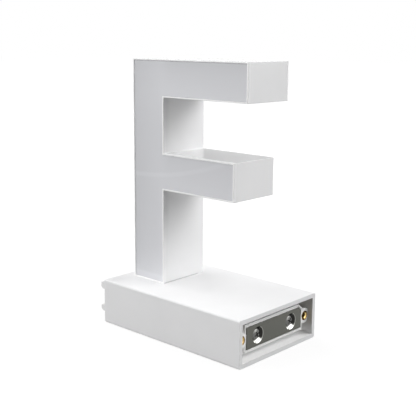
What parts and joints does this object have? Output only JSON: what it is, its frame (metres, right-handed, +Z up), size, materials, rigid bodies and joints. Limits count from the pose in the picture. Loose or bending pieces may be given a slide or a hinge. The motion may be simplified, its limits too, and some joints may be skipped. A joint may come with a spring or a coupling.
{
  "type": "light-up letter",
  "caption": "Light-up block letter F with an acrylic face, standing on a hollow base that plugs to its neighbours with magnets and sprung contacts.",
  "frame": {"origin": "middle of the base's flat underside, halfway along the tube and halfway through its depth", "axes": "+Z up; -Y is the front, where the letter's face looks; the row of letters runs along X, with the socket at +X and the plug at -X"},
  "size_m": [0.1396, 0.083, 0.1955],
  "materials": {
    "tube_white": "satin, fine moulded grain",
    "shell_white": "satin to gloss",
    "face_acrylic": "smooth translucent acrylic, unlit",
    "back_white": "satin",
    "connector_white": "satin moulded",
    "magnet_nickel": "polished nickel plate",
    "screw_steel": "bright zinc plate",
    "contact_brass": "turned, satin",
    "pin_gold": "gold plated, polished",
    "plate_steel": "brushed",
    "spring_steel": "drawn wire",
    "grommet_rubber": "matt",
    "strip_white": "matt solder mask",
    "led_phosphor": "clear resin over phosphor",
    "jumper_copper": "tinned copper",
    "wire_red": "soft insulation",
    "wire_black": "soft insulation"
  },
  "bodies": {
    "letter": {"base_tube": "tube_white", "letter_shell": "shell_white", "face_panel": "face_acrylic", "back_panel": "back_white", "back_panel_screws": "screw_steel", "foot_plate": "plate_steel", "letter_screws": "screw_steel", "grommet": "grommet_rubber", "led_strip_stem": "strip_white", "led_strip_top": "strip_white", "led_strip_middle": "strip_white", "led_packages": "led_phosphor", "strip_jumpers": "jumper_copper", "socket_body": "connector_white", "socket_magnet": "magnet_nickel", "socket_magnet_screws": "screw_steel", "socket_sleeve_front": "contact_brass", "socket_sleeve_rear": "contact_brass", "plug_body": "connector_white", "plug_magnet": "magnet_nickel", "plug_magnet_screws": "screw_steel", "plug_barrel_front": "contact_brass", "plug_barrel_rear": "contact_brass", "plug_spring_front": "spring_steel", "plug_spring_rear": "spring_steel", "connector_screws": "screw_steel", "bus_wire_front": "wire_red", "bus_wire_rear": "wire_black", "feed_wire_front": "wire_red", "feed_wire_rear": "wire_black"},
    "pin_front": {"plug_pin_front": "pin_gold"},
    "pin_rear": {"plug_pin_rear": "pin_gold"}
  },
  "joints": [
    {"name": "pin_front_slide", "type": "slide", "parent": "letter", "child": "pin_front", "axis": [1, 0, 0], "range_m": [0, 0.0024], "stiffness_N_per_m": 400, "springref_m": -0.001, "deforming": ["plug_spring_front"]},
    {"name": "pin_rear_slide", "type": "slide", "parent": "letter", "child": "pin_rear", "axis": [1, 0, 0], "range_m": [0, 0.0024], "stiffness_N_per_m": 400, "springref_m": -0.001, "deforming": ["plug_spring_rear"]}
  ]
}
